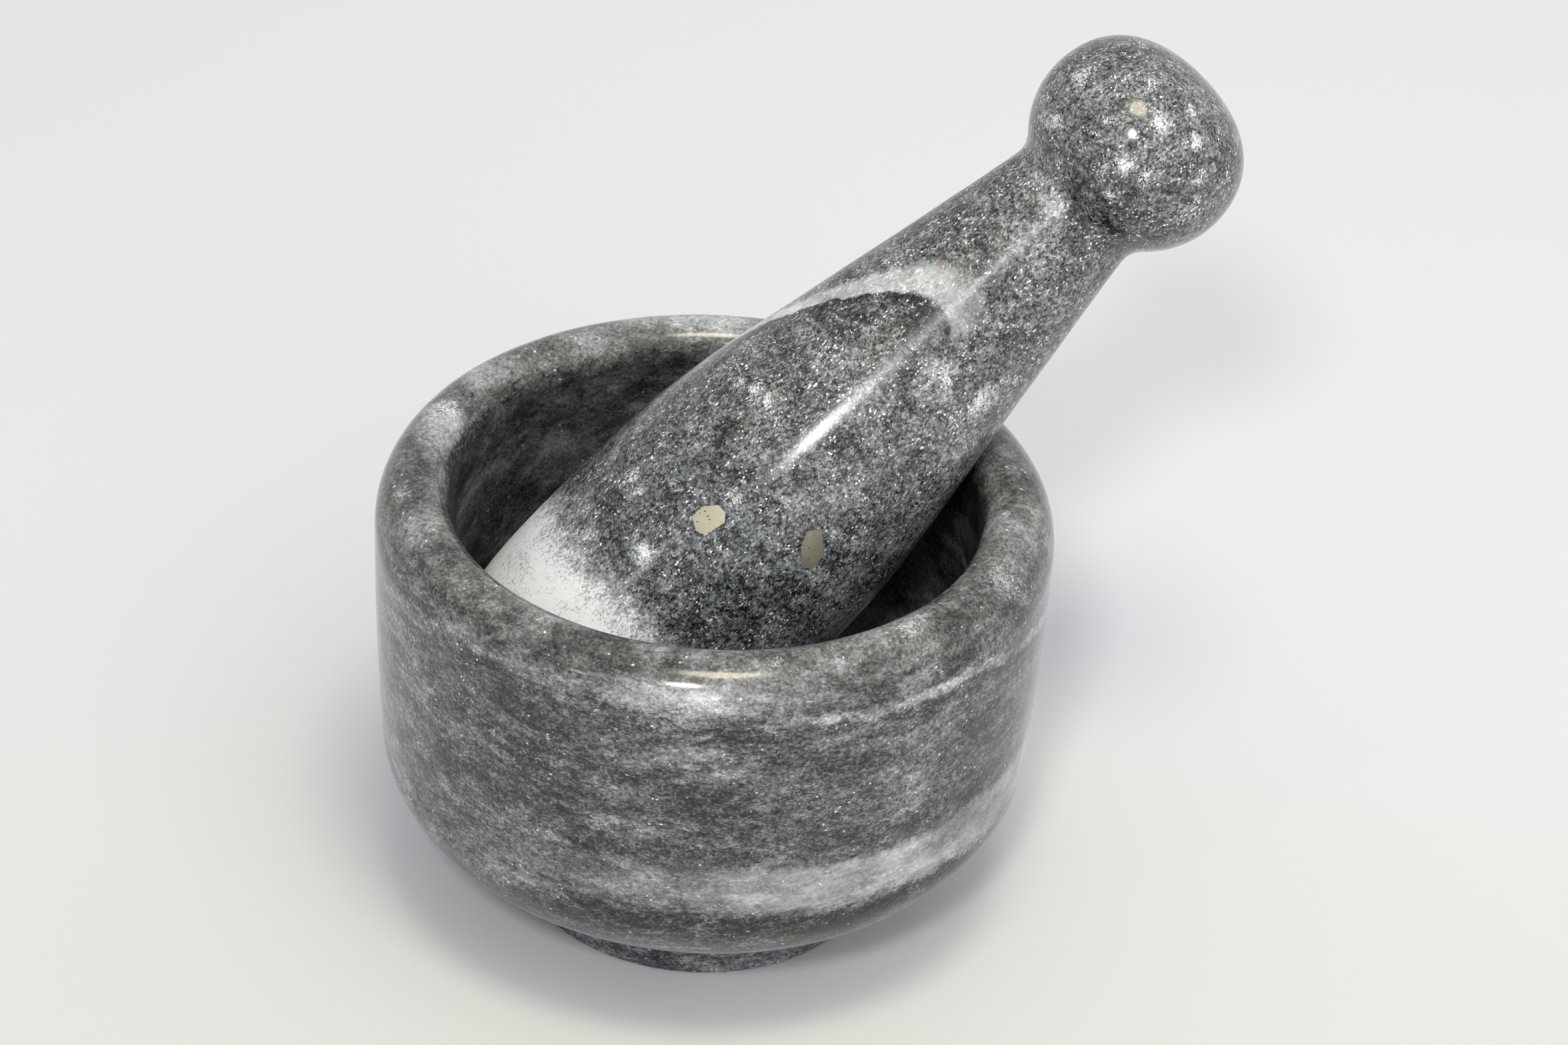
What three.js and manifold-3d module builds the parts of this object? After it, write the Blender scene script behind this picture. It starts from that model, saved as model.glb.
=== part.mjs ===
// Stone mortar and pestle: a thick round bowl on a low foot, and a club-shaped pestle with a
// ball handle that leans in it. Both are turned from one grey marble, and two pyrite crystals
// that grew in the stone show in the side of the pestle.
// Millimetres, +Z up. The origin is the centre of the mortar's flat foot, +X is the side that
// the pestle leans towards, and -Y is the front.
import * as THREE from 'three';
import { mergeVertices } from 'three/addons/utils/BufferGeometryUtils.js';
import Module from 'manifold-3d';

// ---------------------------------------------------------------- driving dimensions

// Mortar, outside
const FOOT_RADIUS = 26.7;
const FOOT_HEIGHT = 6.5;
const FOOT_CHAMFER = 0.8;
const UNDERSIDE_RUN = 9.8;         // how far the underside runs out before it turns up
const UNDERSIDE_RISE = 5.3;
const WALL_START_RADIUS = 48.2;    // where the shoulder becomes the wall
const WALL_START_HEIGHT = 27.6;
const SHOULDER_REACH = 10.2;       // how far below that point the shoulder still follows the wall
const WALL_BULGE_RADIUS = 49.65;   // pulls the wall's flare out half-way up
const RIM_RADIUS = 50.0;           // widest radius, just under the lip
const MORTAR_HEIGHT = 70.7;

// Mortar, lip and bowl
const LIP_CREST_RADIUS = 43.5;
const LIP_OUTER_DROP = 7.8;        // height of the rounded outer edge
const LIP_INNER_DROP = 5.3;        // height of the rounded inner edge
const BORE_RADIUS = 39.0;          // inside radius right under the lip
const BOWL_RADIUS = 38.3;          // inside radius where the bowl's floor begins to curve
const BOWL_SPRING_HEIGHT = 42.0;
const BOWL_FLOOR_HEIGHT = 14.0;
const BOWL_FULLNESS = 0.585;       // 0.552 is a true quarter ellipse, more is squarer

// Pestle, along its own axis from the grinding tip
const BELLY_RADIUS = 22.3;
const BELLY_HEIGHT = 44.0;
const TIP_FLATNESS = 22.0;         // how far the blunt tip stays square to the axis
const TIP_SIDE = 36.0;             // how far down the tip the belly's side reaches
const BELLY_TAPER = 16.2;          // how far up the belly still runs parallel to the axis
const NECK_RADIUS = 11.2;
const NECK_HEIGHT = 114.4;
const NECK_TAPER = 46.2;           // how far down the shaft keeps the neck's cone
const NECK_SLOPE = 0.174;          // radius lost per millimetre of that cone
const KNOB_RADIUS = 16.45;         // across the axis
const KNOB_BELOW = 15.0;           // from the knob's equator down to the end of its oval
const KNOB_ABOVE = 13.7;           // from the equator to the top
const KNOB_FULLNESS = 0.63;        // 0.552 is a true quarter ellipse, more is squarer
const KNOB_CENTRE = 129.1;
const KNOB_JOIN_ANGLE = 0.71;      // radians below the knob's equator where the neck's fillet joins
const NECK_FILLET_START = 2.2;
const NECK_FILLET_END = 2.4;

// How the pestle rests in the bowl
const TIP_POSITION = new THREE.Vector3(-28.3, -6.5, 26.8);
const PESTLE_HEADING = 19.9;       // degrees from +X towards +Y
const PESTLE_ELEVATION = 44.6;     // degrees above the horizontal

// Pyrite crystals: cubes cut through by the polished surface. Each outline is drawn by hand in
// half millimetres, as (along the pestle, around it) from the crystal's centre.
const CRYSTAL_DEPTH = 2.2;
const CRYSTAL_RECESS = 0.1;        // below the polished surface
const POCKET_CLEARANCE = 0.3;
const CRYSTALS = [
  {
    name: 'pyrite_crystal_left',
    height: 49,
    angle: 43,                     // degrees around the pestle from its upper side
    outline: [[-1.5, -2], [0.5, -2], [2.5, -0.5], [2.5, 1], [1.5, 2], [-2, 1.5], [-2.5, 0]],
  },
  {
    name: 'pyrite_crystal_right',
    height: 56.5,
    angle: 80,
    outline: [[1.5, -2.5], [3, -1], [0.5, 2], [-2, 2.5], [-3, 1], [-1, -1.5]],
  },
];

// Fineness of the faceted solids
const MORTAR_SEGMENTS = 60;
const PESTLE_SEGMENTS = 44;
const CURVE_STEPS = 7;

// ---------------------------------------------------------------- materials

const stone = (color) => new THREE.MeshStandardMaterial({ color, roughness: 0.3, metalness: 0 });
const mortarStone = stone(0x6d7074);
const pestleStone = stone(0x72757a);
const pyrite = new THREE.MeshStandardMaterial({ color: 0xb3a679, roughness: 0.4, metalness: 0.8 });

// ---------------------------------------------------------------- profiles (radius, height)

function mortarProfile() {
  const path = new THREE.Path();
  path.moveTo(0, 0);
  path.lineTo(FOOT_RADIUS - FOOT_CHAMFER, 0);
  path.lineTo(FOOT_RADIUS, FOOT_CHAMFER);
  path.lineTo(FOOT_RADIUS, FOOT_HEIGHT);
  // underside and shoulder
  path.bezierCurveTo(
    FOOT_RADIUS + UNDERSIDE_RUN, FOOT_HEIGHT + UNDERSIDE_RISE,
    WALL_START_RADIUS, WALL_START_HEIGHT - SHOULDER_REACH,
    WALL_START_RADIUS, WALL_START_HEIGHT,
  );
  // wall, flaring a little to the rim
  const rimHeight = MORTAR_HEIGHT - LIP_OUTER_DROP;
  path.quadraticCurveTo(
    WALL_BULGE_RADIUS, (WALL_START_HEIGHT + rimHeight) / 2, RIM_RADIUS, rimHeight,
  );
  // rounded lip: a quarter ellipse outside and a smaller one inside
  path.absellipse(
    LIP_CREST_RADIUS, rimHeight,
    RIM_RADIUS - LIP_CREST_RADIUS, LIP_OUTER_DROP, 0, Math.PI / 2, false,
  );
  path.absellipse(
    LIP_CREST_RADIUS, MORTAR_HEIGHT - LIP_INNER_DROP,
    LIP_CREST_RADIUS - BORE_RADIUS, LIP_INNER_DROP, Math.PI / 2, Math.PI, false,
  );
  // bowl
  path.lineTo(BOWL_RADIUS, BOWL_SPRING_HEIGHT);
  const bowlDepth = BOWL_SPRING_HEIGHT - BOWL_FLOOR_HEIGHT;
  path.bezierCurveTo(
    BOWL_RADIUS, BOWL_SPRING_HEIGHT - BOWL_FULLNESS * bowlDepth,
    BOWL_FULLNESS * BOWL_RADIUS, BOWL_FLOOR_HEIGHT,
    0, BOWL_FLOOR_HEIGHT,
  );
  return path.getPoints(CURVE_STEPS);
}

function pestleProfile() {
  const path = new THREE.Path();
  path.moveTo(0, 0);
  // blunt grinding tip up to the belly
  path.bezierCurveTo(TIP_FLATNESS, 0, BELLY_RADIUS, BELLY_HEIGHT - TIP_SIDE, BELLY_RADIUS, BELLY_HEIGHT);
  // belly tapering to the neck
  path.bezierCurveTo(
    BELLY_RADIUS, BELLY_HEIGHT + BELLY_TAPER,
    NECK_RADIUS + NECK_SLOPE * NECK_TAPER, NECK_HEIGHT - NECK_TAPER,
    NECK_RADIUS, NECK_HEIGHT,
  );
  // fillet from the neck to the knob
  const joinRadius = KNOB_RADIUS * Math.cos(KNOB_JOIN_ANGLE);
  const joinHeight = KNOB_CENTRE - KNOB_BELOW * Math.sin(KNOB_JOIN_ANGLE);
  const tangent = new THREE.Vector2(
    KNOB_RADIUS * Math.sin(KNOB_JOIN_ANGLE), KNOB_BELOW * Math.cos(KNOB_JOIN_ANGLE),
  ).setLength(NECK_FILLET_END);
  path.bezierCurveTo(
    NECK_RADIUS - NECK_SLOPE * NECK_FILLET_START, NECK_HEIGHT + NECK_FILLET_START,
    joinRadius - tangent.x, joinHeight - tangent.y,
    joinRadius, joinHeight,
  );
  // knob
  path.absellipse(0, KNOB_CENTRE, KNOB_RADIUS, KNOB_BELOW, -KNOB_JOIN_ANGLE, 0, false);
  path.bezierCurveTo(
    KNOB_RADIUS, KNOB_CENTRE + KNOB_FULLNESS * KNOB_ABOVE,
    KNOB_FULLNESS * KNOB_RADIUS, KNOB_CENTRE + KNOB_ABOVE,
    0, KNOB_CENTRE + KNOB_ABOVE,
  );
  return path.getPoints(CURVE_STEPS);
}

// Turns a profile about the Z axis. LatheGeometry turns about Y, so it is stood up afterwards.
// The first and last points are put exactly on the axis.
function turned(profile, segments) {
  profile[0].x = 0;
  profile[profile.length - 1].x = 0;
  return new THREE.LatheGeometry(profile, segments).rotateX(Math.PI / 2);
}

// The profile's radius at a height, between its points
function radiusAt(profile, height) {
  const next = profile.findIndex((point) => point.y > height);
  const [below, above] = [profile[next - 1], profile[next]];
  return THREE.MathUtils.mapLinear(height, below.y, above.y, below.x, above.x);
}

// ---------------------------------------------------------------- cutting

const wasm = await Module();
wasm.setup();

function toManifold(geometry) {
  const bare = geometry.clone();
  bare.deleteAttribute('normal');
  bare.deleteAttribute('uv');
  const merged = mergeVertices(bare, 1e-4);
  return new wasm.Manifold(new wasm.Mesh({
    numProp: 3,
    vertProperties: new Float32Array(merged.attributes.position.array),
    triVerts: new Uint32Array(merged.index.array),
  }));
}

function toGeometry(manifold) {
  const { vertProperties, triVerts } = manifold.getMesh();
  const geometry = new THREE.BufferGeometry();
  geometry.setAttribute('position', new THREE.BufferAttribute(vertProperties, 3));
  geometry.setIndex(new THREE.BufferAttribute(triVerts, 1));
  geometry.computeVertexNormals();
  return geometry;
}

// ---------------------------------------------------------------- crystals and their pockets

// A prism of the crystal's outline, widened by a clearance. It runs from its own z = 0 plane,
// which faces out of the pestle, into the stone.
function crystalPrism(crystal, clearance, from, to) {
  const points = crystal.outline.map(([along, around]) => {
    const point = new THREE.Vector2(along, around);
    return point.setLength(point.length() + clearance);
  });
  const depth = to - from;
  return new THREE.ExtrudeGeometry(new THREE.Shape(points), { depth, bevelEnabled: false })
    .translate(0, 0, from);
}

// Where the crystal's outer face sits, in the pestle's own frame: x along the pestle, y around
// it, z into the stone. The pestle's upper side is its own -X side.
function crystalPlacement(crystal, profile) {
  const angle = THREE.MathUtils.degToRad(crystal.angle + 180);
  const outward = new THREE.Vector3(Math.cos(angle), Math.sin(angle), 0);
  const around = new THREE.Vector3(-Math.sin(angle), Math.cos(angle), 0);
  const along = new THREE.Vector3(0, 0, 1);
  const radius = radiusAt(profile, crystal.height) - CRYSTAL_RECESS;
  return new THREE.Matrix4()
    .makeBasis(along, around, outward.clone().negate())
    .setPosition(outward.clone().multiplyScalar(radius).setZ(crystal.height));
}

function pestleWithPockets(profile) {
  let body = toManifold(turned(profile, PESTLE_SEGMENTS));
  for (const crystal of CRYSTALS) {
    const pocket = crystalPrism(crystal, POCKET_CLEARANCE, -2, CRYSTAL_DEPTH + POCKET_CLEARANCE);
    body = body.subtract(toManifold(pocket.applyMatrix4(crystalPlacement(crystal, profile))));
  }
  return toGeometry(body);
}

// ---------------------------------------------------------------- assembly

function named(name, geometry, material) {
  const mesh = new THREE.Mesh(geometry, material);
  mesh.name = name;
  return mesh;
}

const mortarAndPestle = new THREE.Group();

mortarAndPestle.add(named('mortar', turned(mortarProfile(), MORTAR_SEGMENTS), mortarStone));

const pestleAssembly = new THREE.Group();
pestleAssembly.position.copy(TIP_POSITION);
pestleAssembly.rotation.set(
  0, THREE.MathUtils.degToRad(90 - PESTLE_ELEVATION), THREE.MathUtils.degToRad(PESTLE_HEADING), 'ZYX',
);
const shaft = pestleProfile();
pestleAssembly.add(named('pestle', pestleWithPockets(shaft), pestleStone));
for (const crystal of CRYSTALS) {
  const mesh = named(crystal.name, crystalPrism(crystal, 0, 0, CRYSTAL_DEPTH), pyrite);
  crystalPlacement(crystal, shaft).decompose(mesh.position, mesh.quaternion, mesh.scale);
  pestleAssembly.add(mesh);
}
mortarAndPestle.add(pestleAssembly);

export default mortarAndPestle;
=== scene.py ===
import math

import bmesh
import bpy
import numpy as np
from mathutils import Matrix, Vector, noise


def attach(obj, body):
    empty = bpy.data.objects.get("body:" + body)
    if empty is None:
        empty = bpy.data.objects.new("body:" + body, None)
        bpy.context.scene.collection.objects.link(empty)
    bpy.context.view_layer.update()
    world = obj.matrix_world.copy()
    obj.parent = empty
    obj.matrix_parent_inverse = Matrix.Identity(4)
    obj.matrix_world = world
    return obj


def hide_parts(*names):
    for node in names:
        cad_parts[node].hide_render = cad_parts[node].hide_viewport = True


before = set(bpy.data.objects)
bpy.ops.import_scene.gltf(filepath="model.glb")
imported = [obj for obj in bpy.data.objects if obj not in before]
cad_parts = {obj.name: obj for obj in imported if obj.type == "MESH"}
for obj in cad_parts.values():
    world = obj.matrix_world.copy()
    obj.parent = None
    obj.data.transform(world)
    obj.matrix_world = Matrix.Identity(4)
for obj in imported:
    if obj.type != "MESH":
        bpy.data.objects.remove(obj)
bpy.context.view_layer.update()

MM = 0.001


# ---------------------------------------------------------------- profiles (radius, height)

def bezier(points, count):
    """Points along a cubic Bezier curve, without the first."""
    a, b, c, d = (np.array(p, float) for p in points)
    t = np.linspace(0, 1, count + 1)[1:, None]
    return a * (1 - t) ** 3 + 3 * b * t * (1 - t) ** 2 + 3 * c * t ** 2 * (1 - t) + d * t ** 3


def line(start, end, count):
    """Points along a straight line, without the first."""
    t = np.linspace(0, 1, count + 1)[1:, None]
    return np.array(start, float) * (1 - t) + np.array(end, float) * t


def ellipse(centre, radii, start, end, count):
    """Points along an elliptical arc, without the first. Angles are in radians."""
    angle = np.linspace(start, end, count + 1)[1:]
    return np.stack([centre[0] + radii[0] * np.cos(angle), centre[1] + radii[1] * np.sin(angle)], 1)


def mortar_profile():
    foot_radius, foot_height, foot_round = 26.7, 6.5, 0.8
    underside_run, underside_rise, shoulder_reach = 9.8, 5.3, 10.2
    wall_start, wall_bulge = (48.2, 27.6), 49.65
    rim, crest_radius, top = (50.0, 62.9), 43.5, 70.7
    bore_radius, bore_top = 39.0, 65.4
    bowl_radius, spring, floor, fullness = 38.3, 42.0, 14.0, 0.585
    corner = (foot_radius - foot_round, foot_round)
    # the wall is a quadratic curve through its bulge, written as a cubic
    wall_middle = (wall_bulge, (wall_start[1] + rim[1]) / 2)
    wall_handle = [2 / 3 * m + 1 / 3 * e for m, e in zip(wall_middle, wall_start)]
    rim_handle = [2 / 3 * m + 1 / 3 * e for m, e in zip(wall_middle, rim)]
    return np.vstack([
        [(0, 0)],
        line((0, 0), (corner[0], 0), 12),
        ellipse(corner, (foot_round, foot_round), -math.pi / 2, 0, 5),
        line((foot_radius, foot_round), (foot_radius, foot_height), 9),
        bezier([(foot_radius, foot_height),
                (foot_radius + underside_run, foot_height + underside_rise),
                (wall_start[0], wall_start[1] - shoulder_reach), wall_start], 46),
        bezier([wall_start, wall_handle, rim_handle, rim], 46),
        ellipse((crest_radius, rim[1]), (rim[0] - crest_radius, top - rim[1]), 0, math.pi / 2, 20),
        ellipse((crest_radius, bore_top), (crest_radius - bore_radius, top - bore_top),
                math.pi / 2, math.pi, 18),
        line((bore_radius, bore_top), (bowl_radius, spring), 26),
        bezier([(bowl_radius, spring), (bowl_radius, spring - fullness * (spring - floor)),
                (fullness * bowl_radius, floor), (0, floor)], 56),
    ])


def pestle_profile():
    tip_flatness, tip_side = 22.0, 36.0
    belly, belly_taper = (22.3, 44.0), 16.2
    neck, neck_taper, neck_slope = (11.2, 114.4), 46.2, 0.174
    fillet_start, fillet_end = 2.2, 2.4
    knob_radius, knob_centre, below, above = 16.45, 129.1, 15.0, 13.7
    join, fullness = 0.71, 0.63
    join_point = np.array([knob_radius * math.cos(join), knob_centre - below * math.sin(join)])
    fillet = np.array([knob_radius * math.sin(join), below * math.cos(join)])
    fillet *= fillet_end / np.linalg.norm(fillet)
    return np.vstack([
        [(0, 0)],
        bezier([(0, 0), (tip_flatness, 0), (belly[0], belly[1] - tip_side), belly], 90),
        bezier([belly, (belly[0], belly[1] + belly_taper),
                (neck[0] + neck_slope * neck_taper, neck[1] - neck_taper), neck], 112),
        bezier([neck, (neck[0] - neck_slope * fillet_start, neck[1] + fillet_start),
                join_point - fillet, join_point], 18),
        ellipse((0, knob_centre), (knob_radius, below), -join, 0, 26),
        bezier([(knob_radius, knob_centre), (knob_radius, knob_centre + fullness * above),
                (fullness * knob_radius, knob_centre + above), (0, knob_centre + above)], 46),
    ])


def radius_at(profile, height):
    """The radius of a profile at a height along its outer side."""
    order = np.argsort(profile[:, 1])
    return float(np.interp(height, profile[order, 1], profile[order, 0]))


PESTLE_SHAPE = pestle_profile()


# ---------------------------------------------------------------- places on the stones

LIP_CENTRE, LIP_ROUND = (43.5, 64.0), 6.6      # a circle that follows the lip, in its section
WALL_RADIUS, WALL_FLARE = 48.0, 0.03           # a cone that follows the outer wall


def round_axis(angle, radius, height):
    """A point from its degrees round the z axis, its distance from that axis and its height."""
    turn = math.radians(angle)
    return (radius * math.cos(turn), radius * math.sin(turn), height)


def on_pestle(height, angle):
    """A point on the pestle's surface, in its own frame, at an angle from its upper side."""
    return round_axis(angle, radius_at(PESTLE_SHAPE, height), height)


def on_wall(angle, height):
    """A point on the mortar's outer wall."""
    return round_axis(angle, WALL_RADIUS + WALL_FLARE * height, height)


def on_lip(angle, tilt):
    """A point on the mortar's lip, tilt degrees out from its crest."""
    out = math.radians(tilt)
    return round_axis(angle, LIP_CENTRE[0] + LIP_ROUND * math.sin(out),
                      LIP_CENTRE[1] + LIP_ROUND * math.cos(out))


# ---------------------------------------------------------------- meshes

def even_angles(count):
    """Angles round the axis, all equally far apart."""
    return np.linspace(0, 2 * math.pi, count, endpoint=False)


def angles_with_fine_part(count, centre, half_width, boost):
    """Angles round the axis, packed boost times closer about a centre angle."""
    steps = np.linspace(-math.pi, math.pi, 2001)
    density = 1 + (boost - 1) * np.exp(-((steps / half_width) ** 2))
    share = np.concatenate([[0], np.cumsum((density[1:] + density[:-1]) / 2)])
    return centre + np.interp(np.arange(count) / count, share / share[-1], steps)


def lathe_mesh(name, profile, angles, relief):
    """A closed turned body. relief(point) says how far each vertex moves out along its normal,
    in millimetres."""
    rings = profile[1:-1]
    tangent = np.gradient(profile, axis=0)[1:-1]
    tangent /= np.linalg.norm(tangent, axis=1)[:, None]
    verts = []
    for (radius, height), (along_r, along_z) in zip(rings, tangent):
        for angle in angles:
            c, s = math.cos(angle), math.sin(angle)
            point = Vector((radius * c, radius * s, height))
            normal = Vector((along_z * c, along_z * s, -along_r))
            verts.append((point + normal * relief(point)) * MM)
    first, last = len(verts), len(verts) + 1
    verts.append(Vector((0, 0, profile[0][1])) * MM)
    verts.append(Vector((0, 0, profile[-1][1])) * MM)
    around = len(angles)
    faces = []
    for ring in range(len(rings) - 1):
        for k in range(around):
            a, b = ring * around + k, ring * around + (k + 1) % around
            faces.append((a, b, b + around, a + around))
    top = (len(rings) - 1) * around
    for k in range(around):
        after = (k + 1) % around
        faces.append((first, after, k))
        faces.append((last, top + k, top + after))
    mesh = bpy.data.meshes.new(name)
    mesh.from_pydata(verts, [], faces)
    mesh.shade_smooth()
    return mesh


def add_object(name, mesh, material, place=None):
    """A new object of a mesh, which place first moves into the row frame."""
    if place is not None:
        mesh.transform(place)
    mesh.materials.append(material)
    piece = bpy.data.objects.new(name, mesh)
    bpy.context.scene.collection.objects.link(piece)
    return piece


def stands_for(piece, node, body):
    """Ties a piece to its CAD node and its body."""
    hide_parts(node)
    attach(piece, body)


# ---------------------------------------------------------------- material graphs

class Graph:
    """One material's node tree, built with short calls. Any value is a socket or a constant."""

    def __init__(self, name, origin=None, axes=None):
        self.material = bpy.data.materials.new(name)
        self.material.use_nodes = True
        self.tree = self.material.node_tree
        self.shader = self.tree.nodes["Principled BSDF"]
        place = self.node("ShaderNodeTexCoord").outputs["Object"]
        self.place = self.vector("SCALE", place, scale=1 / MM)
        if axes:
            local = self.vector("SUBTRACT", self.place, origin)
            parts = [self.vector("DOT_PRODUCT", local, axis) for axis in axes]
            self.place = self.node("ShaderNodeCombineXYZ", enumerate(parts)).outputs[0]

    def node(self, kind, inputs=(), **settings):
        made = self.tree.nodes.new(kind)
        for key, value in settings.items():
            setattr(made, key, value)
        for key, value in dict(inputs).items():
            self.feed(made.inputs[key], value)
        return made

    def feed(self, socket, value):
        if isinstance(value, bpy.types.NodeSocket):
            self.tree.links.new(value, socket)
        else:
            socket.default_value = value

    def math(self, operation, a, b=0.0):
        return self.node("ShaderNodeMath", {0: a, 1: b}, operation=operation).outputs[0]

    def vector(self, operation, a, b=(0, 0, 0), scale=1.0):
        made = self.node("ShaderNodeVectorMath", {0: a, 1: b, 3: scale}, operation=operation)
        return made.outputs["Value" if operation in ("LENGTH", "DOT_PRODUCT") else 0]

    def total(self, *terms):
        result = terms[0]
        for term in terms[1:]:
            result = self.math("ADD", result, term)
        return result

    def times(self, *terms):
        result = terms[0]
        for term in terms[1:]:
            result = self.math("MULTIPLY", result, term)
        return result

    def noise(self, place, scale, detail=3.0, roughness=0.55, output="Fac"):
        return self.node("ShaderNodeTexNoise", {
            "Vector": place, "Scale": scale, "Detail": detail,
            "Roughness": roughness}).outputs[output]

    def cells(self, place, scale, output="Color"):
        return self.node("ShaderNodeTexVoronoi", {
            "Vector": place, "Scale": scale}).outputs[output]

    def split(self, vector):
        return self.node("ShaderNodeSeparateXYZ", {0: vector}).outputs

    def ease(self, value, low, high, to_low=0.0, to_high=1.0):
        """A smooth step from to_low, where value is low, to to_high."""
        return self.node("ShaderNodeMapRange", {
            "Value": value, "From Min": low, "From Max": high, "To Min": to_low,
            "To Max": to_high}, interpolation_type="SMOOTHSTEP").outputs[0]

    def scaled(self, value, low, high, to_low, to_high):
        """A straight, clamped change of range."""
        return self.node("ShaderNodeMapRange", {
            "Value": value, "From Min": low, "From Max": high, "To Min": to_low,
            "To Max": to_high}).outputs[0]

    def angle(self, place):
        """Degrees round the z axis from x, -180 to 180."""
        x, y, _ = self.split(place)
        return self.times(self.math("ARCTAN2", y, x), 180 / math.pi)

    def curve(self, angle, points, top=150.0):
        """A smooth curve through (degrees, value) points, for values from 0 to top."""
        share = self.scaled(angle, -180, 180, 0, 1)
        made = self.node("ShaderNodeFloatCurve", {1: share})
        dots = made.mapping.curves[0].points
        wanted = [((a + 180) / 360, value / top) for a, value in points]
        while len(dots) < len(wanted):
            dots.new(0.5, 0.5)
        for dot, (x, y) in zip(dots, wanted):
            dot.location = (x, y)
        made.mapping.update()
        return self.times(made.outputs[0], top)

    def shards(self, place, spots):
        """1 inside ragged crystals, each given by its centre and radius."""
        tears = self.scaled(self.noise(place, 3.2, 4, 0.75), 0.3, 0.7, -1.1, 1.1)
        result = 0.0
        for centre, radius in spots:
            distance = self.total(self.ellipsoid_distance(place, centre, (radius,) * 3), tears)
            result = self.math("MAXIMUM", result, self.ease(distance, 0.4, 0.7, 1.0, 0.0))
        return self.times(result, self.ease(self.noise(place, 2.6, 4, 0.7), 0.40, 0.54, 0.1, 1.0))

    def above(self, place, angle, course):
        """How far a place is above a course of (degrees, height) points round the axis."""
        return self.math("SUBTRACT", self.split(place)[2], self.curve(angle, course))

    def vein(self, place, course, half_width, ends, fade, core=0.25):
        """1 along a course, from one end angle to the other, and the height above it."""
        angle = self.angle(place)
        off = self.above(place, angle, course)
        vein = self.ease(self.math("ABSOLUTE", off), half_width * core, half_width, 1.0, 0.0)
        return self.times(vein, self.ease(angle, ends[0], ends[0] + fade),
                          self.ease(angle, ends[1], ends[1] - fade)), off

    def ramp(self, value, stops):
        made = self.node("ShaderNodeValToRGB", {0: value})
        elements = made.color_ramp.elements
        while len(elements) < len(stops):
            elements.new(0.5)
        for element, (position, colour) in zip(elements, stops):
            element.position = position
            element.color = (*colour, 1)
        return made.outputs[0]

    def mix(self, share, a, b, blend="MIX"):
        made = self.node("ShaderNodeMix", data_type="RGBA", blend_type=blend, clamp_factor=True)
        self.feed(made.inputs[0], share)
        for socket, value in ((made.inputs[6], a), (made.inputs[7], b)):
            self.feed(socket, value if isinstance(value, bpy.types.NodeSocket) else (*value, 1))
        return made.outputs[2]

    def bump(self, height, strength, distance, normal=None):
        inputs = {"Height": height, "Strength": strength, "Distance": distance * MM}
        if normal is not None:
            inputs["Normal"] = normal
        return self.node("ShaderNodeBump", inputs).outputs[0]

    def ellipsoid_distance(self, place, centre, radii):
        """0 at the centre of an ellipsoid and 1 on its surface."""
        local = self.vector("SUBTRACT", place, tuple(centre))
        return self.vector("LENGTH", self.vector("DIVIDE", local, tuple(radii)))

    def with_patches(self, tone, place, patches):
        """The tone with soft ellipsoids added, each given by centre, radii and amount."""
        for centre, radii, amount in patches:
            distance = self.ellipsoid_distance(place, centre, radii)
            tone = self.total(tone, self.times(self.ease(distance, 0.3, 1.0, 1.0, 0.0), amount))
        return tone


# ---------------------------------------------------------------- marble

# Linear colours for a tone, which is the lightness the eye sees
STONE_TONES = [
    (0.00, (0.0055, 0.0062, 0.0072)),
    (0.15, (0.0180, 0.0200, 0.0225)),
    (0.30, (0.0640, 0.0700, 0.0770)),
    (0.45, (0.1520, 0.1620, 0.1730)),
    (0.60, (0.2850, 0.2950, 0.3030)),
    (0.75, (0.4700, 0.4770, 0.4760)),
    (1.00, (0.9000, 0.9050, 0.9000)),
]


# How far the slow sway and the quick ripple push the places that patterns are read at, in mm
WARP, TEAR, FRAY, CRUMBLE = 9.0, 3.0, 3.0, 0.4
FLAKE_GAIN, GLINT_GAIN = 0.46, 0.55              # how bright the white flakes are, and how bright the painted glints of crystal faces are
OLIVE_STAIN = (1.0, 0.93, 0.80)                  # colours that multiply the stone's own
GROUND_STONE = (0.965, 0.985, 1.0)
GOLD = (0.27, 0.20, 0.085)
POLISH, WORN_POLISH, GROUND = (0.105, 0.175), 0.11, 0.75     # roughness
STONE_IOR = 1.5


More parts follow.
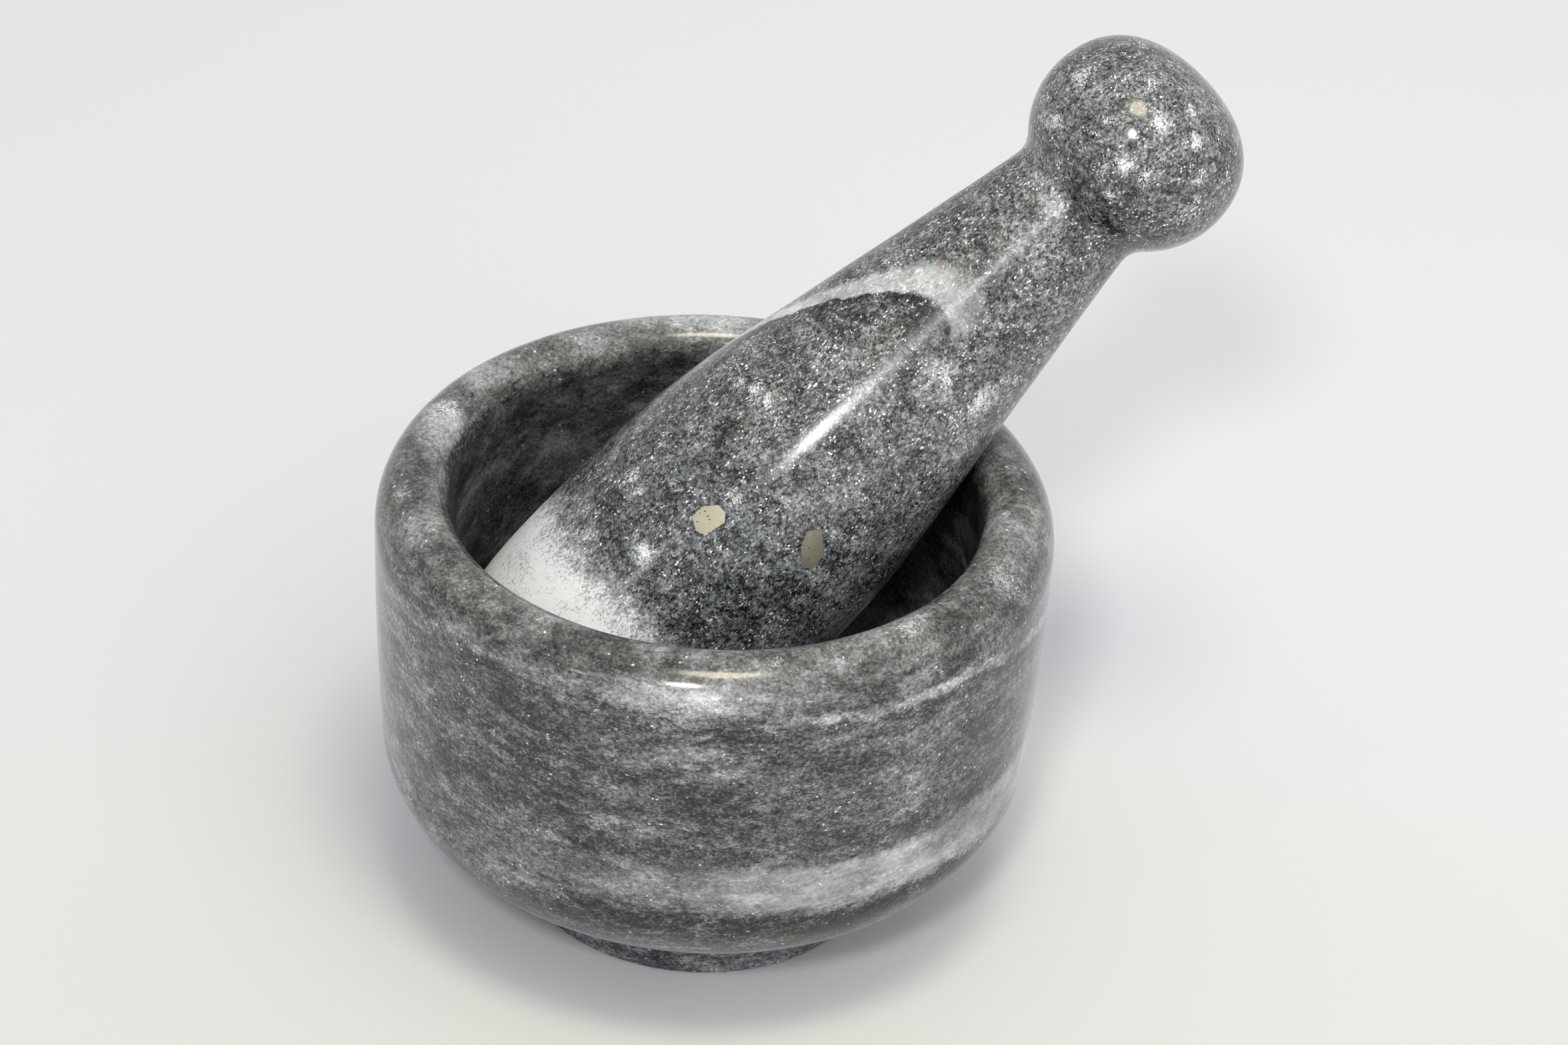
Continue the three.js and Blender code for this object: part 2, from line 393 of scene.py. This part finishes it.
def marble(g, look, features, brushing=None):
    """Grey crystalline marble. look sets the sizes and strengths of its pattern, and
    features(graph, warped, frayed and torn place) returns what the placed veins and patches add
    to the tone, with masks of matt ground stone, olive stain, plain smooth stone and gold."""
    centred = (0.5, 0.5, 0.5)
    sway = g.vector("SUBTRACT", g.noise(g.place, 0.045, 3, output="Color"), centred)
    ripple = g.vector("SUBTRACT", g.noise(g.place, 0.4, 4, output="Color"), centred)
    warped = g.vector("ADD", g.place, g.vector("SCALE", sway, scale=WARP))
    torn = g.vector("ADD", g.place, g.vector("SCALE", ripple, scale=TEAR))
    frayed = g.vector("ADD", torn, g.vector("SCALE", sway, scale=FRAY))
    crumbled = g.vector("ADD", g.place, g.vector("SCALE", ripple, scale=CRUMBLE))
    bedded = g.vector("MULTIPLY", warped, look["bedding"])
    shards = g.vector("MULTIPLY", crumbled, look["shards"])

    clouds = g.noise(bedded, 0.075, 3, 0.55)
    patches = g.noise(bedded, 0.20, 4, 0.62)
    mottle = g.noise(g.vector("MULTIPLY", frayed, look["bedding"]), 0.6, 3, 0.62)
    crumbs = g.noise(shards, look["grain"], 4, 0.75)
    large = g.split(g.cells(shards, look["grain"] * 0.75))[0]
    small, glint, black = g.split(g.cells(shards, look["grain"] * 1.5))

    feature_tone, ground, stain, smooth, gold = features(g, warped, frayed, torn)
    grain = g.total(
        g.scaled(mottle, 0.25, 0.75, -look["mottle"], look["mottle"]),
        g.scaled(crumbs, 0.25, 0.75, -look["crumbs"], look["crumbs"]),
        g.scaled(large, 0, 1, -look["crystals"], look["crystals"]),
        g.scaled(small, 0, 1, -look["crystals"], look["crystals"]),
        g.times(g.ease(black, 0.90, 0.94), -look["specks"]),
    )
    quiet = g.math("SUBTRACT", 1.0, g.times(smooth, 0.75))
    gather = g.ease(g.noise(g.place, 0.28, 3, 0.6), 0.44, 0.62)
    shreds = g.noise(g.vector("MULTIPLY", torn, look["shards"]), 1.5, 5, 0.72)
    flaked = g.ease(shreds, look["flakes"], look["flakes"] + 0.05)
    # painted glints: tiny cells painted bright, as painted highlights of crystal faces catching the
    # light; the sum below is the white flakes and these painted glints
    glinting = g.ease(glint, 1 - look["glints"], 1.01 - look["glints"])
    flakes = g.total(g.times(flaked, g.total(0.15, gather), FLAKE_GAIN),
                     g.times(glinting, g.total(0.35, gather), GLINT_GAIN))
    tone = g.total(
        look["tone"],
        g.scaled(clouds, 0.3, 0.7, -look["clouds"], look["clouds"]),
        g.scaled(patches, 0.3, 0.7, -look["patches"], look["patches"]),
        g.times(g.total(grain, flakes), quiet),
        feature_tone,
    )
    colour = g.ramp(tone, STONE_TONES)
    stained = g.times(stain, g.ease(g.noise(g.place, 0.25, 3), 0.28, 0.52),
                      g.ease(tone, 0.58, 0.45))
    colour = g.mix(stained, colour, g.mix(1.0, colour, OLIVE_STAIN, "MULTIPLY"))
    colour = g.mix(ground, colour, g.mix(1.0, colour, GROUND_STONE, "MULTIPLY"))
    colour = g.mix(gold, colour, GOLD)

    rough = g.scaled(g.noise(g.place, 0.8, 4), 0.3, 0.7, *POLISH)
    if brushing is not None:
        lines, worn = brushing(g)
        rough = g.total(rough, g.times(worn, WORN_POLISH))
    rough = g.math("MAXIMUM", rough, g.times(ground, GROUND))
    g.feed(g.shader.inputs["Base Color"], colour)
    g.feed(g.shader.inputs["Roughness"], rough)
    g.shader.inputs["IOR"].default_value = STONE_IOR

    grit = g.times(g.noise(g.place, 4.0, 3, 0.7), g.total(0.08, g.times(ground, 0.9)))
    normal = g.bump(grit, 0.35, 0.12)
    if brushing is not None:
        normal = g.bump(g.times(lines, worn), 0.8, 0.04, normal)
    g.feed(g.shader.inputs["Normal"], normal)
    return g.material


# ---------------------------------------------------------------- mortar marble

def mortar_features(g, warped, frayed, torn):
    x, _, z = g.split(g.place)

    # thick pale bed low on the right side, fading to the left and behind, with a dark band under it
    # that is partly its own colour and partly painted shade under the bulge
    bed, off_bed = g.vein(frayed, BED_COURSE, 5.9, (-150, 60), 30, 0.5)
    bed = g.times(bed, g.ease(x, -20, 16, 0.32, 1.0),
                  g.ease(g.noise(frayed, 0.22, 3), 0.22, 0.5, 0.6, 1.0))
    below = g.times(g.ease(off_bed, -13, -9), g.ease(off_bed, -4.5, -6.5),
                    g.ease(g.noise(frayed, 0.16, 3), 0.3, 0.55, 0.45, 1.0))
    vein, _ = g.vein(frayed, VEIN_COURSE, 1.6, (-84, 30), 16)
    left_vein, _ = g.vein(frayed, LEFT_VEIN_COURSE, 1.9, (-172, -104), 12)
    tone = g.total(
        g.times(bed, 0.31),
        # the dark band under the bed: its own colour, deepened with painted shade
        g.times(below, -0.16),
        g.times(g.ease(z, 26, 14), -0.03),      # painted shade, darker towards the base under the bulge
        g.times(g.ease(z, 7.5, 6.0), 0.11),     # foot
        g.times(vein, 0.24),
        g.times(left_vein, 0.12),
    )
    tone = g.with_patches(tone, frayed, MORTAR_PATCHES)

    # the bowl's inside is painted darker, as shade in the hollow, and is quieter, and use has
    # ground its floor matt
    off_axis = g.vector("LENGTH", g.vector("MULTIPLY", g.place, (1, 1, 0)))
    inside = g.times(g.ease(off_axis, 40.4, 38.9), g.ease(z, 8, 12))
    outside = g.math("SUBTRACT", 1.0, inside)
    streaks = g.noise(g.vector("MULTIPLY", warped, (0.06, 0.06, 1.0)), 0.8, 4, 0.6)
    tone = g.total(
        tone,
        # painted shade inside the bowl
        g.times(inside, -0.065),
        g.times(outside, g.scaled(streaks, 0.3, 0.7, -0.06, 0.06)),
        g.times(outside, g.ease(z, 62, 68), 0.085),
        g.times(g.shards(torn, MORTAR_CALCITE), 0.34),
    )
    floor = g.times(inside, g.ease(z, 30, 16))
    stain = g.total(g.ease(z, 63, 69, 0.1, 1.0), g.times(below, 0.6))
    smooth = g.math("MAXIMUM", g.times(inside, 0.7), g.ease(z, 62, 68, 0.0, 0.4))
    smooth = g.math("MAXIMUM", smooth, g.times(bed, 0.8))
    return tone, g.times(floor, 0.6), stain, smooth, 0.0


# Courses round the mortar: (degrees, height)
BED_COURSE = [(-180, 30), (-135, 28), (-105, 33), (-60, 31.5), (-20, 31.5), (60, 27), (180, 30)]
VEIN_COURSE = [(-180, 60), (-90, 63.5), (-50, 62), (-35, 61), (-15, 57), (20, 52), (180, 50)]
LEFT_VEIN_COURSE = [(-180, 59), (-150, 61.5), (-130, 66), (-110, 63), (0, 60), (180, 60)]
# Soft patches: centre, radii and what they add to the tone
MORTAR_PATCHES = [
    (on_lip(165, 0), (6.5, 9.0, 3.0), 0.27),        # whitish stretches of the lip
    (on_lip(145, 0), (6.0, 6.0, 3.0), 0.20),
    (on_lip(95, 0), (13.0, 5.0, 3.0), 0.24),
    (on_lip(-160, 15), (5.0, 7.0, 3.0), 0.12),
    (on_lip(-95, 70), (15.0, 6.0, 4.6), 0.27),
    (on_wall(-85, 53.5), (6.0, 6.0, 1.6), 0.20),    # pale streak mid-wall
    (on_wall(-110, 38), (3.5, 3.5, 1.3), -0.14),    # dark lenses
    (on_wall(-63, 41), (4.5, 4.5, 2.2), -0.10),
    ((-7.0, -39.0, 15.0), (22.0, 14.0, 6.0), -0.06),
]
# White calcite crystals: centre and radius
MORTAR_CALCITE = [
    (on_lip(-25, 25), 2.9), (on_lip(-23, 60), 2.2), (on_lip(-50, 5), 2.4), (on_lip(-46, 0), 1.5),
    (on_lip(-172, 25), 2.0), (on_lip(158, 5), 2.4), (on_lip(-78, 15), 1.3),
]


# ---------------------------------------------------------------- pestle marble

def pestle_features(g, warped, frayed, torn):
    z = g.split(frayed)[2]

    # use has ground the tip matt and pale; its tone is also raised as painted light, against the
    # shade it gets in the bowl
    tip = g.ease(z, 36.0, 24.5)
    dust = g.ease(g.noise(g.place, 2.4, 4, 0.75), 0.34, 0.66, -0.24, 0.10)
    tone = g.times(tip, g.total(0.77, dust), g.ease(z, 4, 22, 0.8, 1.0))

    # pale arch across the upper side of the shaft, with a dark fringe and lens under it
    turn = g.angle(frayed)
    off_arch = g.above(frayed, turn, ARCH_COURSE)
    span = g.times(g.ease(turn, -70, -40), g.ease(turn, 74, 58))
    arch = g.times(g.ease(off_arch, -2.0, -1.0), g.ease(off_arch, 6.8, 2.6), span)
    lens = g.times(g.ease(off_arch, -15, -3.5), g.ease(off_arch, -1.6, -2.4), span,
                   g.ease(g.noise(frayed, 0.2, 3), 0.35, 0.6, 0.25, 1.0))
    fringe = g.times(g.ease(off_arch, -4.5, -2.8), g.ease(off_arch, -1.2, -2.0), span)
    tone = g.total(
        tone,
        g.times(arch, g.ease(turn, 34, 50, 0.35, 0.17)),
        g.times(lens, -0.10),
        g.times(fringe, -0.09),
        g.ease(z, 46, 70, 0.0, 0.045),
        g.ease(z, 114, 124, 0.0, 0.03),
        g.times(g.shards(torn, PESTLE_CALCITE), 0.50),
    )
    tone = g.with_patches(tone, frayed, PESTLE_PATCHES)
    stain = g.times(g.ease(g.angle(warped), 75, 30, 0.15, 0.9),
                    g.ease(g.split(warped)[2], 52, 64, 0.2, 1.0))
    smooth = g.math("MAXIMUM", g.times(arch, 0.85), g.times(tip, 0.6))
    return tone, tip, stain, smooth, g.shards(torn, GOLD_FLECKS)


def pestle_brushing(g):
    """Fine polishing scratches round the shaft, and how strong they are towards the neck."""
    lines = g.noise(g.vector("MULTIPLY", g.place, (0.25, 0.25, 5.0)), 1.0, 3, 0.7)
    height = g.split(g.place)[2]
    return lines, g.times(g.ease(height, 66, 84, 0.06, 1.0), g.ease(height, 119, 115))


# The pale arch across the shaft: a parabola from its crown, (degrees, height)
ARCH_CROWN, ARCH_DROP = (42, 95), 0.0051
ARCH_COURSE = [(degrees, ARCH_CROWN[1] - ARCH_DROP * (degrees - ARCH_CROWN[0]) ** 2)
               for degrees in range(-60, 120, 20)]
PESTLE_PATCHES = [
    (on_pestle(86, 68), (4.2, 4.2, 5.6), 0.27),      # right end of the arch
    (on_pestle(88, 100), (3.2, 3.2, 4.0), 0.26),
    (on_pestle(82, 112), (3.5, 3.5, 7.0), 0.12),
    (on_pestle(116, 36), (7.0, 7.0, 2.6), 0.16),     # pale ring of the neck
    (on_pestle(38.5, 36), (3.0, 3.0, 3.4), 0.20),
    (on_pestle(123.5, 6), (2.2, 3.2, 1.6), 0.20),    # knob
    (on_pestle(135.5, 52), (3.5, 3.5, 2.4), 0.18),
    (on_pestle(127.5, 56), (1.5, 3.0, 2.0), 0.26),
    (on_pestle(137, 76), (1.6, 1.6, 1.6), 0.24),
    (on_pestle(122, 78), (16.0, 16.0, 10.0), -0.15),
    (on_pestle(45, 85), (9.0, 9.0, 9.0), -0.10),     # darker by the crystals' right
    (on_pestle(72, 86), (5.0, 5.0, 6.0), -0.08),
]
# Calcite spots: radius, then the (height, degrees) of each spot of that size
CALCITE_SIZES = {
    0.9: [(48.5, 26)],
    1.0: [(76.5, 20), (130.5, 33)],
    1.2: [(43.5, 14), (54, 43), (123, 62), (133.5, 92), (128.5, 68), (139.5, 62)],
    1.4: [(66.5, 22), (125, 50), (137, 75), (138.5, 30), (124.5, 12)],
    1.7: [(65, 6), (66, 15), (44, 7), (39, 36), (88, 98), (128, 57), (135.5, 52)],
    2.0: [(131.5, 2)],
}
PESTLE_CALCITE = [(on_pestle(height, degrees), radius)
                  for radius, places in CALCITE_SIZES.items() for height, degrees in places]
GOLD_FLECKS = [(on_pestle(94, 15), 0.8), (on_pestle(98, 25), 1.0), (on_pestle(98.5, 37), 0.8)]


def pyrite_material():
    """Pale gold polished crystal with a little tarnish and small black pits."""
    pit_scale = 1.3
    g = Graph("pyrite")
    grains = g.vector("MULTIPLY", g.place, (1.0, 1.0, 2.2))
    pits = g.times(g.ease(g.cells(grains, pit_scale, "Distance"), 0.16, 0.24, 1.0, 0.0),
                   g.ease(g.split(g.cells(grains, pit_scale))[0], 0.42, 0.46))
    tarnish = g.noise(g.place, 0.7, 3)
    colour = g.mix(tarnish, (0.40, 0.37, 0.265), (0.52, 0.49, 0.37))
    colour = g.mix(pits, colour, (0.05, 0.045, 0.03))
    g.feed(g.shader.inputs["Base Color"], colour)
    g.feed(g.shader.inputs["Roughness"], g.scaled(tarnish, 0.3, 0.7, 0.42, 0.5))
    g.shader.inputs["Metallic"].default_value = 0.7
    g.feed(g.shader.inputs["Normal"], g.bump(g.math("SUBTRACT", 0.0, pits), 0.5, 0.08))
    return g.material


# ---------------------------------------------------------------- pieces

def waviness(point, size, amount):
    """Slight unevenness of a hand-turned surface, in waves of a size in millimetres."""
    return amount * noise.noise(point / size)


# Small chips out of the inner edge of the lip: degrees, size and depth
CHIPS = [(Vector(on_lip(degrees, -24)), size, depth) for degrees, size, depth in (
    (-39, 0.8, 0.30), (-35, 0.6, 0.35), (-31, 1.0, 0.40), (-28, 0.7, 0.35), (-25, 0.6, 0.25))]


def mortar_relief(point):
    height = waviness(point, 17.0, 0.06) + waviness(point + Vector((50, 0, 0)), 6.0, 0.02)
    for centre, radius, depth in CHIPS:
        near = (point - centre).length / radius
        if near < 2.5:
            height -= depth * math.exp(-near * near)
    still = min(1.0, max(0.0, point.z / 3.0))      # the foot's underside stays flat
    return height * still


def pestle_relief(point):
    return waviness(point, 14.0, 0.05) + waviness(point + Vector((80, 0, 0)), 5.0, 0.015)


# Sizes of the marble's patterns, per millimetre, and their strengths in tone
MORTAR_LOOK = {
    "bedding": (0.44, 0.44, 1.0), "shards": (0.70, 0.70, 1.0), "tone": 0.336,
    "clouds": 0.08, "patches": 0.14, "mottle": 0.15, "grain": 2.8, "crumbs": 0.20, "crystals": 0.10,
    "specks": 0.08, "flakes": 0.66, "glints": 0.012,
}
PESTLE_LOOK = {
    "bedding": (0.8, 0.8, 1.0), "shards": (1.0, 1.0, 0.75), "tone": 0.368,
    "clouds": 0.06, "patches": 0.12, "mottle": 0.13, "grain": 2.9, "crumbs": 0.18, "crystals": 0.13,
    "specks": 0.22, "flakes": 0.60, "glints": 0.045,
}

# The pestle's own frame: its axis leans 44.6 degrees above the horizontal, 19.9 degrees
# from +X towards +Y, from the tip's place in the bowl.
LEAN, HEADING, TIP = math.radians(44.6), math.radians(19.9), Vector((-28.3, -6.5, 26.8))
pestle_axis = Vector((math.cos(LEAN) * math.cos(HEADING), math.cos(LEAN) * math.sin(HEADING),
                      math.sin(LEAN)))
upper_side = Vector((-math.sin(LEAN) * math.cos(HEADING), -math.sin(LEAN) * math.sin(HEADING),
                     math.cos(LEAN)))
PESTLE_AXES = (upper_side, pestle_axis.cross(upper_side), pestle_axis)
PESTLE_PLACE = Matrix.Translation(TIP * MM) @ Matrix(PESTLE_AXES).transposed().to_4x4()

mortar_marble = marble(Graph("mortar_marble"), MORTAR_LOOK, mortar_features)
pestle_marble = marble(Graph("pestle_marble", TIP, PESTLE_AXES), PESTLE_LOOK, pestle_features,
                       pestle_brushing)
pyrite = pyrite_material()

mortar = add_object(
    "mortar_stone",
    lathe_mesh("mortar_stone", mortar_profile(),
               angles_with_fine_part(390, math.radians(-31), 0.5, 1.6), mortar_relief),
    mortar_marble)
stands_for(mortar, "mortar", "mortar")

pestle = add_object(
    "pestle_stone",
    lathe_mesh("pestle_stone", PESTLE_SHAPE, even_angles(300), pestle_relief),
    pestle_marble, PESTLE_PLACE)

# Cubes cut through by the polished surface: height and degrees of the centre, and the outline's
# corners to half a millimetre, as (along the pestle, around it)
CRYSTALS = {
    "pyrite_crystal_left": (49, 43, [
        (-1.5, -2), (0.5, -2), (2.5, -0.5), (2.5, 1), (1.5, 2), (-2, 1.5), (-2.5, 0)]),
    "pyrite_crystal_right": (56.5, 80, [
        (1.5, -2.5), (3, -1), (0.5, 2), (-2, 2.5), (-3, 1), (-1, -1.5)]),
}
CRYSTAL_DEPTH, CRYSTAL_SINK, CRYSTAL_RINGS = 2.2, 0.05, 9
POCKET_GAP, POCKET_FLOOR_GAP, POCKET_RISE = 0.03, 0.1, 1.0


def ragged_outline(corners, steps=7, wobble=0.05):
    """The crystal's outline with each side broken into small uneven steps."""
    points = []
    for start, end in zip(corners, corners[1:] + corners[:1]):
        for step in range(steps):
            t = step / steps
            point = Vector((start[0] * (1 - t) + end[0] * t, start[1] * (1 - t) + end[1] * t, 0))
            points.append(point + wobble * noise.noise_vector(point * 1.7))
    return [(p.x, p.y) for p in points]


def crystal_solid(name, height, angle, outline, grow, out, depth, rings):
    """A closed prism of the outline, widened by grow, that follows the pestle's surface, in the
    pestle's frame. It starts out millimetres above that surface and goes depth into the stone.
    Each end has that many rings from its rim to its middle."""
    turn = math.radians(angle)
    verts, faces = [], []

    def placed(along, around, inward):
        radius = radius_at(PESTLE_SHAPE, height + along)
        bend = turn + around / radius
        r = radius - inward
        return Vector((r * math.cos(bend), r * math.sin(bend), height + along)) * MM

    def ring(share, inward):
        start = len(verts)
        for along, around in outline:
            length = math.hypot(along, around)
            k = share * (length + grow) / length
            verts.append(placed(along * k, around * k, inward))
        return start

    shares = np.linspace(1, 0, rings + 1)[:-1]
    upper = [ring(share, -out) for share in shares]
    starts = upper[::-1] + [ring(share, depth) for share in shares]
    count = len(outline)
    for low, high in zip(starts, starts[1:]):
        for k in range(count):
            after = (k + 1) % count
            faces.append((low + k, high + k, high + after, low + after))
    for start, inward in ((starts[0], -out), (starts[-1], depth)):
        middle = len(verts)
        verts.append(placed(0, 0, inward))
        for k in range(count):
            faces.append((middle, start + k, start + (k + 1) % count))
    mesh = bpy.data.meshes.new(name)
    mesh.from_pydata(verts, [], faces)
    builder = bmesh.new()
    builder.from_mesh(mesh)
    bmesh.ops.recalc_face_normals(builder, faces=builder.faces)
    builder.to_mesh(mesh)
    builder.free()
    return mesh


def cut_pocket(name, height, angle, outline):
    """Cuts the crystal's seat out of the pestle, a hair wider than the crystal."""
    cutter = add_object(
        name + "_pocket",
        crystal_solid(name + "_pocket", height, angle, outline, POCKET_GAP, POCKET_RISE,
                      CRYSTAL_DEPTH + POCKET_FLOOR_GAP, 1),
        pestle_marble, PESTLE_PLACE)
    cut = pestle.modifiers.new(name, "BOOLEAN")
    cut.operation = "DIFFERENCE"
    cut.solver = "EXACT"
    cut.object = cutter
    bpy.context.view_layer.update()
    cut_mesh = bpy.data.meshes.new_from_object(
        pestle.evaluated_get(bpy.context.evaluated_depsgraph_get()))
    pestle.modifiers.clear()
    pestle.data = cut_mesh
    bpy.data.objects.remove(cutter)


def add_crystal(name, height, angle, outline):
    mesh = crystal_solid(name, height, angle, outline, 0.0, -CRYSTAL_SINK, CRYSTAL_DEPTH,
                         CRYSTAL_RINGS)
    mesh.shade_smooth()
    mesh.set_sharp_from_angle(angle=math.radians(35))
    crystal = add_object(name + "_mineral", mesh, pyrite, PESTLE_PLACE)
    stands_for(crystal, name, "pestle")


for crystal_name, (crystal_height, crystal_angle, corners) in CRYSTALS.items():
    crystal_outline = ragged_outline(corners)
    cut_pocket(crystal_name, crystal_height, crystal_angle, crystal_outline)
    add_crystal(crystal_name, crystal_height, crystal_angle, crystal_outline)

pestle.data.shade_smooth()
pestle.data.set_sharp_from_angle(angle=math.radians(40))
stands_for(pestle, "pestle", "pestle")


# ---------------------------------------------------------------- floor, light and camera

def sweep_mesh():
    """A pale sheet, in metres: flat under the object, curving up far behind it."""
    front, bend, bend_radius, top, half_width = -2.2, 0.9, 0.9, 3.0, 3
    rows = [(front, 0.0), (bend, 0.0)]
    rows += [(bend + bend_radius * math.sin(t), bend_radius - bend_radius * math.cos(t))
             for t in np.linspace(0, math.pi / 2, 25)[1:]]
    rows.append((bend + bend_radius, top))
    columns = np.linspace(-half_width, half_width, 13)
    verts = [(x, y, z) for y, z in rows for x in columns]
    n = len(columns)
    faces = [(r * n + c, r * n + c + 1, (r + 1) * n + c + 1, (r + 1) * n + c)
             for r in range(len(rows) - 1) for c in range(n - 1)]
    mesh = bpy.data.meshes.new("sweep")
    mesh.from_pydata(verts, [], faces)
    mesh.shade_smooth()
    return mesh


def paper_material():
    """Matt white paper, with painted light and shade: darker and warmer in front, cooler behind and
    a little darker to the left.
    """
    g = Graph("paper")
    across, deep, _ = g.split(g.place)
    # painted light falloff across the sheet, and painted shade to the left
    painted_shade_tint = g.mix(g.ease(deep, -80, 110), (0.725, 0.716, 0.70), (0.785, 0.79, 0.822))
    darker = g.mix(1.0, painted_shade_tint, (0.93, 0.93, 0.93), "MULTIPLY")
    g.feed(g.shader.inputs["Base Color"], g.mix(g.ease(across, -250, 60), darker, painted_shade_tint))
    g.shader.inputs["Roughness"].default_value = 0.85
    return g.material


sweep = add_object("sweep", sweep_mesh(), paper_material())

WHITE = (1.0, 1.0, 1.0)
LOOK_AT = Vector((0, 0, 0.06))


def area_light(name, azimuth, elevation, distance, size, watts, colour, mirrored=True):
    """A soft oval lamp that faces the object from a direction in degrees. One that isn't
    mirrored lights the stone but makes no highlight on it."""
    a, e = math.radians(azimuth), math.radians(elevation)
    way = Vector((math.cos(e) * math.cos(a), math.cos(e) * math.sin(a), math.sin(e)))
    data = bpy.data.lights.new(name, "AREA")
    data.shape = "ELLIPSE"
    data.size, data.size_y = size
    data.energy = watts
    data.color = colour
    lamp = bpy.data.objects.new(name, data)
    bpy.context.scene.collection.objects.link(lamp)
    lamp.location = LOOK_AT + way * distance
    lamp.rotation_euler = way.to_track_quat("Z", "Y").to_euler()
    lamp.visible_glossy = mirrored


area_light("front_lamp", -97.5, 42, 2.2, (0.27, 0.23), 14, (0.97, 0.98, 1.0))
area_light("ceiling_box", -80, 71, 1.6, (0.50, 0.44), 7.5, (1.0, 0.93, 0.66))
area_light("top_box", -60, 70, 2.0, (1.7, 1.2), 5, WHITE)
area_light("left_strip", -132, 25, 1.4, (0.07, 0.03), 0.4, WHITE)
area_light("front_fill", -66, 38, 2.6, (2.6, 1.8), 17, WHITE, mirrored=False)

world = bpy.data.worlds.new("studio")
world.use_nodes = True
world.node_tree.nodes["Background"].inputs["Color"].default_value = (0.93, 0.95, 1.0, 1)
world.node_tree.nodes["Background"].inputs["Strength"].default_value = 0.49
bpy.context.scene.world = world
bpy.context.scene.view_settings.view_transform = "Standard"

# The camera stands 1.05 m away, 35.5 degrees above the table, rolled a little to the left.
camera_data = bpy.data.cameras.new("camera")
camera_data.sensor_width = 36.0
camera_data.lens = 161.7
camera = bpy.data.objects.new("camera", camera_data)
bpy.context.scene.collection.objects.link(camera)
elevation, distance, aim_height = 0.62024, 1.0491, 0.040
yaw, pitch, roll = 0.01182, -0.01902, 0.06194
down = elevation + pitch
forward = Vector((math.sin(yaw) * math.cos(down), math.cos(yaw) * math.cos(down), -math.sin(down)))
side = Vector((math.cos(yaw), -math.sin(yaw), 0))
above = side.cross(forward)
camera_x = side * math.cos(roll) + above * math.sin(roll)
camera_y = above * math.cos(roll) - side * math.sin(roll)
turn = Matrix((camera_x, camera_y, -forward)).transposed().to_4x4()
place = Vector((0, -distance * math.cos(elevation), distance * math.sin(elevation) + aim_height))
camera.matrix_world = Matrix.Translation(place) @ turn
bpy.context.scene.camera = camera
